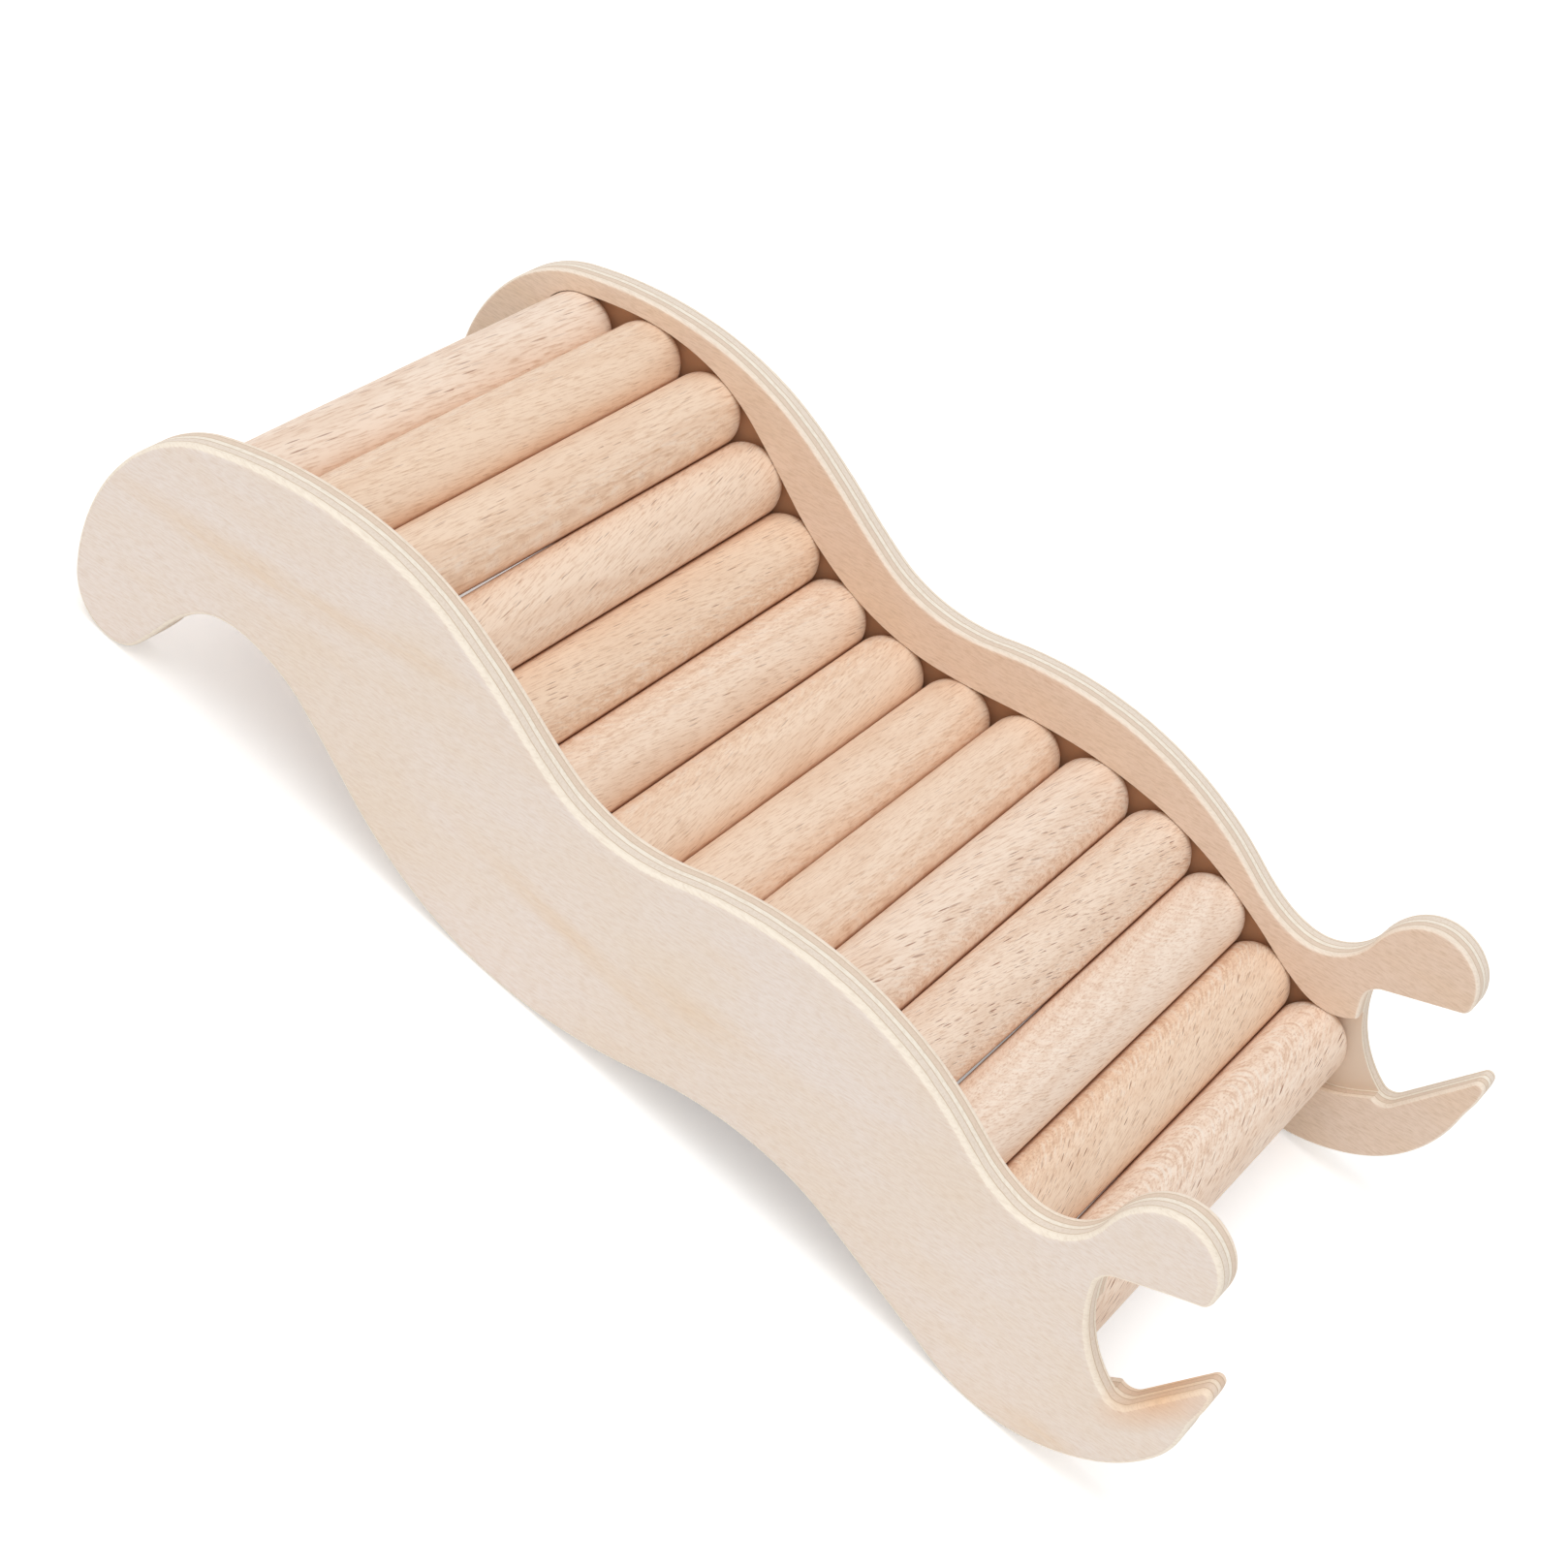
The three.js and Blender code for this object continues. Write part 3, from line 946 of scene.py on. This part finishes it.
@dataclass
class Rungs:
    """The fourteen beech rungs, glued side by side into the channels.

    thick is added to the radius, so that they touch but for the slacks. unevenness_rest is the brightness
    of the clouds, from 0 to 1, that moves nothing. Each rung comes from board_step further along its board
    than the one before, so no two show the same spot.
    """

    radius: float = 5 * MM
    end_rounding: float = 2.1 * MM
    sides: int = 72
    rounding_segments: int = 7
    thick: float = 0.185 * MM
    unevenness: float = 0.06 * MM
    unevenness_length: float = 26 * MM
    unevenness_rest: float = 0.8
    cuts_along: int = 12
    board_step: float = 90 * MM
    slacks: dict[int, Slack] = field(default_factory=lambda: {
        3: Slack(1, 0.14), 4: Slack(-1, 0.14), 11: Slack(1, 0.13), 12: Slack(-1, 0.13), 13: Slack(1, 0.07),
        14: Slack(-1, 0.07)})
    cuts: tuple[Cut, ...] = (
        Cut(0.18, 82, 4, 0.55, 70, 1.7), Cut(0.62, 60, 4, 0.25, 38, 1.2), Cut(0.60, 105, 2, 0.40, 24, 1.3),
        Cut(0.45, 80, -9, 0.45, 52, 1.2), Cut(0.66, 95, 5, 0.60, 64), Cut(0.44, 40, 6, 0.40, 20),
        Cut(0.56, 55, -5, 0.30, 17), Cut(0.52, 110, 3, 0.25, 45), Cut(0.48, 120, 2, 0.30, 58),
        Cut(0.22, 108, 9, 0.75, 33, 1.3), Cut(0.30, 84, 9, 1.00, 75, 0.85), Cut(0.10, 25, 12, 0.25, 22),
        Cut(0.60, 55, -12, 0.85, 41, 0.9), Cut(0.16, 28, -11, 0.95, 60))
    finish: BeechDowel = field(default_factory=BeechDowel)

    def build(self) -> list[Piece]:
        """Builds and dresses the rungs, each where its CAD node lies.

        Returns:
            The rungs, from the hook to the mouth.
        """
        boxes = [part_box(f"rung_{i:02d}") for i in range(1, len(self.cuts) + 1)]
        middles = [(low + high) / 2 for low, high in boxes]
        first = self.turned("beech_rung_01", middles[0], boxes[0][1].y - boxes[0][0].y)
        first.data.materials.append(self.finish.material())
        rungs = [first]
        for i, middle in enumerate(middles[1:], 2):
            rung = copy_of(first, f"beech_rung_{i:02d}")
            rung.location = middle - middles[0]
            bpy.ops.object.transform_apply(location=True, rotation=True, scale=True)
            rungs.append(rung)
        waves = bpy.data.textures.new("dowel_waves", "CLOUDS")
        waves.noise_scale = self.unevenness_length
        for i, (rung, middle, cut) in enumerate(zip(rungs, middles, self.cuts), 1):
            if i in self.slacks:
                self.settle(rung, middle, self.slacks[i])
            self.roughen(rung, waves)
            smooth(rung)
            self.mark(rung, middle, middles[max(i - 2, 0):i - 1] + middles[i:i + 1], cut, i)
            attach(rung, "root")
            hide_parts(f"rung_{i:02d}")
            log.info("%s: %d faces", rung.name, len(rung.data.polygons))
        return rungs

    def turned(self, name: str, middle: Vector, length: float) -> Piece:
        """Turns a dowel with rounded ends.

        Args:
            name: its name.
            middle: where its middle lies.
            length: its length along Y.

        Returns:
            The dowel, at the origin.
        """
        bpy.ops.object.select_all(action="DESELECT")
        bpy.ops.mesh.primitive_cylinder_add(
            vertices=self.sides, radius=self.radius + self.thick, depth=length, location=middle,
            rotation=(math.radians(90), 0, 0))
        dowel = bpy.context.active_object
        dowel.name = dowel.data.name = name
        bpy.ops.object.transform_apply(location=True, rotation=True, scale=True)
        round_edges(dowel, lambda a, b: abs(a.y - b.y) < TOLERANCE, self.end_rounding, self.rounding_segments)
        edit(dowel, lambda a, b: abs(a.y - b.y) > length / 2)
        bpy.ops.mesh.subdivide(number_cuts=1)
        leave_edit()
        return dowel

    def settle(self, dowel: Piece, middle: Vector, slack: Slack) -> None:
        """Thins the near end of a dowel a little and sets it back from a gap that lets light through.

        Args:
            dowel: the dowel.
            middle: where its middle lies.
            slack: how far that end stands back.
        """
        quarter, back = dowel.dimensions.y / 4, slack.back * MM
        thinner = 1 - back / (self.radius + self.thick)
        edit(dowel, lambda a, b: all(middle.y - c.y > quarter for c in (a, b)))
        bpy.ops.transform.resize(value=(thinner, 1, thinner), center_override=middle)
        bpy.ops.transform.translate(value=(-slack.toward * back, 0, 0))
        leave_edit()

    def roughen(self, dowel: Piece, waves: bpy.types.Texture) -> None:
        """Makes a dowel slightly uneven, so that the gaps beside it vary.

        Args:
            dowel: the dowel.
            waves: the clouds that it is moved by.
        """
        quarter = dowel.dimensions.y / 4
        edit(dowel, lambda a, b: abs(a.y - b.y) > quarter)
        bpy.ops.mesh.subdivide(number_cuts=self.cuts_along)
        leave_edit()
        apply_modifier(dowel, "DISPLACE", texture=waves, texture_coords="LOCAL", strength=self.unevenness,
                       mid_level=self.unevenness_rest)

    def mark(self, rung: Piece, middle: Vector, neighbours: list[Vector], cut: Cut, number: int) -> None:
        """Writes on each vertex where it lay in the board and how near it is to a neighbour.

        Args:
            rung: the rung.
            middle: where its middle lies.
            neighbours: the middles of the rungs beside it.
            cut: how it was cut.
            number: its place in the row.
        """
        roll = Matrix.Rotation(math.radians(cut.turn), 3, "Y")
        turn = Matrix.Rotation(math.radians(cut.slope), 3, "X") @ roll
        ways = [(neighbour - middle).normalized() for neighbour in neighbours]
        places, quarters, reaches = [], [], []
        for vertex in rung.data.vertices:
            arm = vertex.co - middle
            place = turn @ arm / cut.coarseness
            places += [place.x + cut.heart * MM, place.y + number * self.board_step, place.z]
            across = roll @ arm
            across.y = 0
            quarters.append(abs(across.z) / across.length)
            reaches.append(max(arm.dot(way) for way in ways) / (self.radius + self.thick))
        layers = rung.data.attributes
        layers.new("timber", "FLOAT_VECTOR", "POINT").data.foreach_set("vector", places)
        for name, values in (
                ("quarter", quarters), ("touch", reaches), ("tone", [cut.tone] * len(reaches)),
                ("fleckiness", [cut.fleckiness] * len(reaches))):
            layers.new(name, "FLOAT", "POINT").data.foreach_set("value", values)


# Studio

@dataclass(frozen=True)
class Lamp:
    """One large soft lamp: the way to it from the bridge, its power and its size."""

    name: str
    way: tuple[float, float, float]
    watts: float
    distance: float = 2.5
    size: float = 2.2

    def hang(self) -> None:
        """Hangs the lamp, turned to the bridge."""
        way = Vector(self.way).normalized()
        bpy.ops.object.light_add(type="AREA", location=way * self.distance,
                                 rotation=way.to_track_quat("Z", "Y").to_euler())
        lamp = bpy.context.active_object
        lamp.name = self.name
        lamp.data.shape, lamp.data.size, lamp.data.energy = "SQUARE", self.size, self.watts


@dataclass
class Studio:
    """Plain pale floor, soft light and the photograph's viewpoint.

    focal_share is the focal length over the frame's width, both as fitted to the photograph in pixels.
    lift is the floor's glow where it is seen, and sky is the sky's strength where it isn't seen.
    """

    place: Vector = field(default_factory=lambda: Vector((74.83, -455.61, 303.57)) * MM)
    ahead: Vector = field(default_factory=lambda: Vector((-0.14695, 0.83687, -0.52730)))
    upward: Vector = field(default_factory=lambda: Vector((-0.64815, 0.32122, 0.69043)))
    focal_share: float = 4700 / 1618
    sensor: float = 36
    floor_size: float = 8
    floor_colour: str = "#fbfbfb"
    lift: float = 0.36
    sky: float = 0.58
    lamps: tuple[Lamp, ...] = (
        Lamp("overhead_lamp", (-0.25, -0.2, 1.0), 24), Lamp("front_lamp", (0.45, -1.0, 0.4), 10))

    def build(self) -> None:
        """Builds the camera, the floor, the sky and the lamps."""
        self.camera()
        self.floor()
        self.world()
        for lamp in self.lamps:
            lamp.hang()
        bpy.context.scene.view_settings.view_transform = "Standard"

    def camera(self) -> None:
        """Sets the camera at the photograph's angle, which is rolled because the bridge there is tilted."""
        camera = bpy.data.cameras.new("photo_view")
        camera.sensor_width = self.sensor
        camera.lens = self.focal_share * self.sensor
        viewer = bpy.data.objects.new("photo_view", camera)
        right = self.ahead.cross(self.upward).normalized()
        up = right.cross(self.ahead).normalized()
        turn = Matrix((right, up, -self.ahead.normalized())).transposed().to_4x4()
        viewer.matrix_world = Matrix.Translation(self.place) @ turn
        bpy.context.scene.collection.objects.link(viewer)
        bpy.context.scene.camera = viewer

    @staticmethod
    def seen(shading: Shading) -> Socket:
        """Tells the rays that see the backdrop from those that only light the object.

        Args:
            shading: the material or world in the making.

        Returns:
            1 for rays from the camera, in a reflection or through glass, and 0 for light on the object.
        """
        path = shading.add("LightPath", {}).node
        both = shading.add("Math", {
            0: path.outputs["Is Camera Ray"], 1: path.outputs["Is Glossy Ray"]}, operation="ADD")
        return shading.add("Math", {0: both, 1: path.outputs["Is Transmission Ray"]},
                           operation="ADD", use_clamp=True)

    def floor(self) -> None:
        """Lays the floor: matt, nearly white, and lifted where it is seen, so that only shadow shows."""
        bpy.ops.object.select_all(action="DESELECT")
        bpy.ops.mesh.primitive_plane_add(size=self.floor_size)
        floor = bpy.context.active_object
        floor.name = "studio_floor"
        material, paper = bpy.data.materials.new("matt_paper_floor"), Shading()
        paper.take(material)
        lift = paper.add("Math", {0: self.seen(paper), 1: self.lift}, operation="MULTIPLY")
        surface = paper.add("BsdfPrincipled", {
            "Base Color": linear(self.floor_colour), "Roughness": 1.0, "Specular IOR Level": 0.0,
            "Emission Color": (1, 1, 1, 1), "Emission Strength": lift})
        paper.end("Material", surface)
        floor.data.materials.append(material)

    def world(self) -> None:
        """Makes an even sky that is white where it is seen."""
        world, air = bpy.data.worlds.new("soft_sky"), Shading()
        bpy.context.scene.world = world
        air.take(world)
        strength = air.add("MapRange", {"Value": self.seen(air), "To Min": self.sky, "To Max": 1.0})
        sky = air.add("Background", {"Color": (1, 1, 1, 1), "Strength": strength})
        air.end("World", sky)


def main() -> None:
    """Builds the bridge and its studio."""
    logging.basicConfig(level=logging.INFO, format="%(message)s")
    for part in (SidePanels(), Rungs()):
        pieces = part.build()
        log.info("%s: %d pieces", type(part).__name__, len(pieces))
    Studio().build()


if __name__ == "__main__":
    main()
